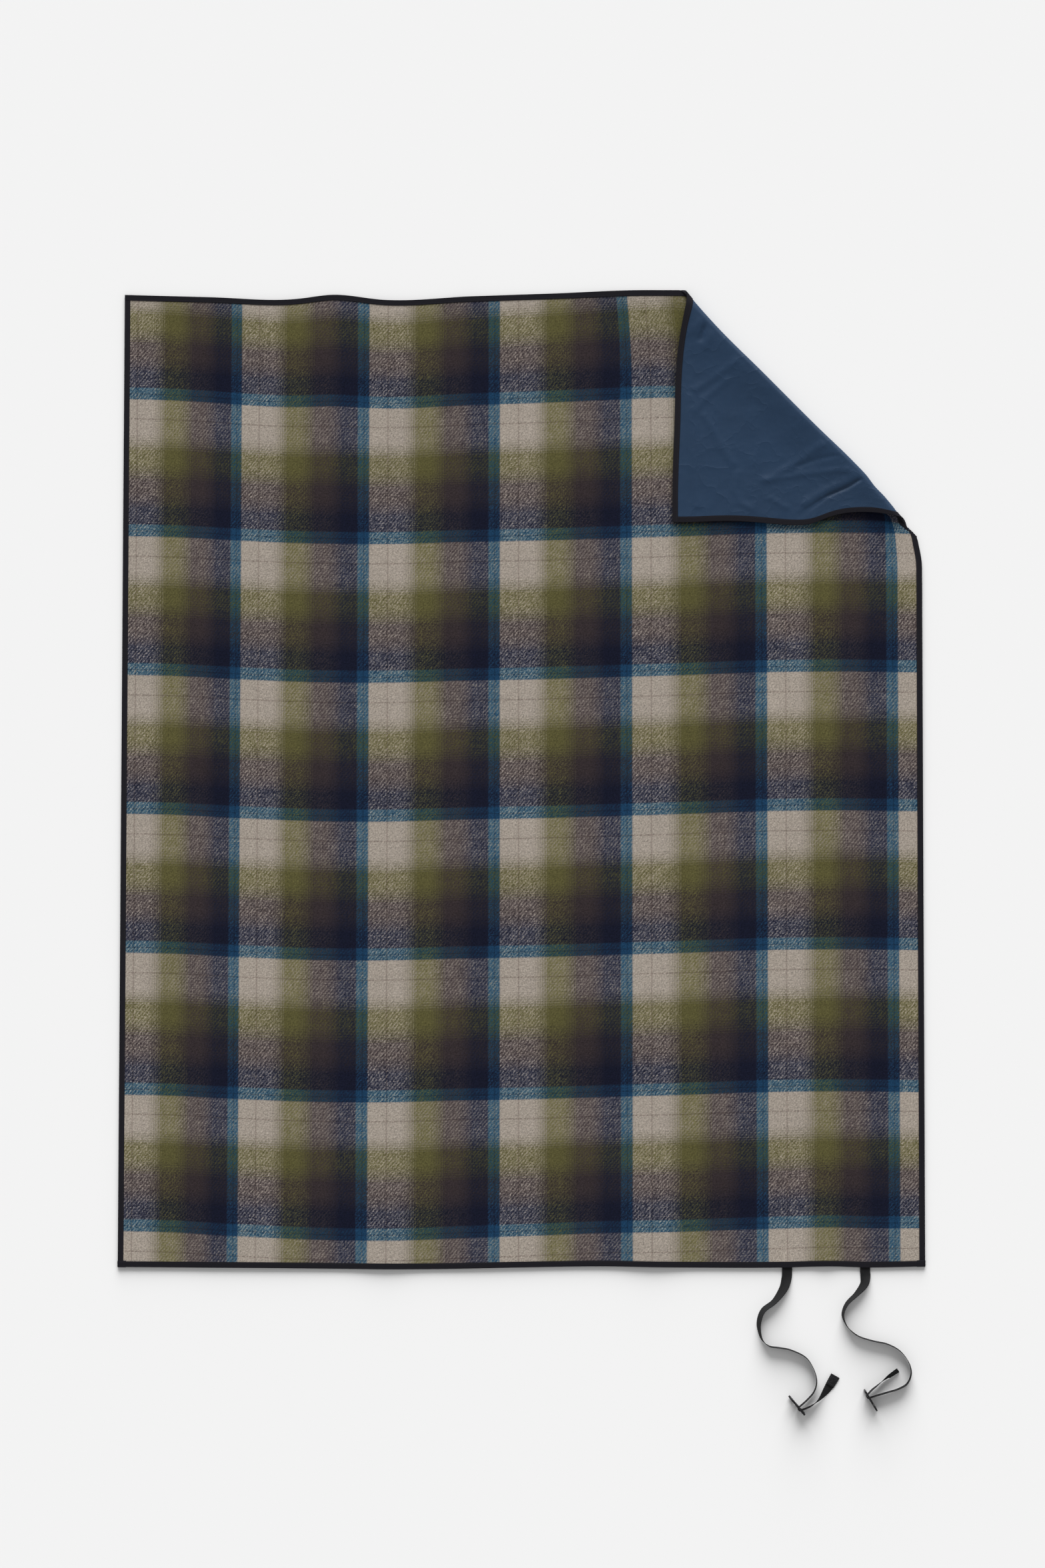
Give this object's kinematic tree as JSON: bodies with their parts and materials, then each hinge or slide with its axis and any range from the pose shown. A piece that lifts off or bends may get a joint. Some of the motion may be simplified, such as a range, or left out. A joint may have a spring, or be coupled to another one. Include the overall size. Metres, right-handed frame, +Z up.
{
  "type": "camp blanket",
  "caption": "Plaid wool ground blanket with a coated backing, bound edges, one corner folded back, and two webbing straps with side-release buckle halves for tying it up as a roll.",
  "frame": {"origin": "on the ground, below the middle of the blanket's rectangle, straps and buckles left out", "axes": "+X right along the strap edge as the blanket is seen from above, +Y away from the strap edge towards the far edge, +Z up from the ground through the plaid face"},
  "size_m": [1.524, 2.1202, 0.0257],
  "materials": {
    "wool": "brushed plaid twill in beige, olive, brown, navy and blue",
    "nylon": "coated navy plain weave with a slight sheen",
    "tape": "black ribbed binding tape",
    "webbing": "black woven webbing",
    "buckle": "black moulded acetal, slightly glossy"
  },
  "bodies": {
    "blanket": {"wool_face": "wool", "nylon_backing": "nylon", "binding_left": "tape", "binding_strap_edge": "tape", "binding_far_edge": "tape", "binding_right": "tape", "left_strap": "webbing", "left_strap_hem": "webbing", "right_strap": "webbing", "right_strap_hem": "webbing"},
    "corner": {"corner_wool_face": "wool", "corner_nylon_backing": "nylon", "corner_binding_far_edge": "tape", "corner_binding_right": "tape"},
    "left_buckle": {"left_buckle_frame": "buckle"},
    "left_upper_arm": {"left_buckle_upper_arm": "buckle"},
    "left_lower_arm": {"left_buckle_lower_arm": "buckle"},
    "right_buckle": {"right_buckle_frame": "buckle"},
    "right_upper_arm": {"right_buckle_upper_arm": "buckle"},
    "right_lower_arm": {"right_buckle_lower_arm": "buckle"}
  },
  "joints": [
    {"name": "corner_fold", "type": "hinge", "parent": "blanket", "child": "corner", "pos_m": [0.546, 0.6875, 0.00865], "axis": [-0.6775, 0.7355, 0], "range_deg": [0, 179.5]},
    {"name": "left_buckle_swivel", "type": "hinge", "parent": "blanket", "child": "left_buckle", "pos_m": [0.5248, -1.1866, 0.0128], "axis": [0, 0, 1], "range_deg": [-30, 30]},
    {"name": "left_upper_arm_flex", "type": "hinge", "parent": "left_buckle", "child": "left_upper_arm", "pos_m": [0.51702, -1.17746, 0.0208], "axis": [-0.7615, -0.6481, 0], "range_deg": [0, 5], "stiffness_Nm_per_rad": 0.05},
    {"name": "left_lower_arm_flex", "type": "hinge", "parent": "left_buckle", "child": "left_lower_arm", "pos_m": [0.51702, -1.17746, 0.0048], "axis": [0.7615, 0.6481, 0], "range_deg": [0, 5], "stiffness_Nm_per_rad": 0.05},
    {"name": "right_buckle_swivel", "type": "hinge", "parent": "blanket", "child": "right_buckle", "pos_m": [0.654, -1.1632, 0.0128], "axis": [0, 0, 1], "range_deg": [-30, 20]},
    {"name": "right_upper_arm_flex", "type": "hinge", "parent": "right_buckle", "child": "right_upper_arm", "pos_m": [0.6602, -1.17348, 0.0208], "axis": [0.8563, 0.5165, 0], "range_deg": [0, 5], "stiffness_Nm_per_rad": 0.05},
    {"name": "right_lower_arm_flex", "type": "hinge", "parent": "right_buckle", "child": "right_lower_arm", "pos_m": [0.6602, -1.17348, 0.0048], "axis": [-0.8563, -0.5165, 0], "range_deg": [0, 5], "stiffness_Nm_per_rad": 0.05}
  ]
}
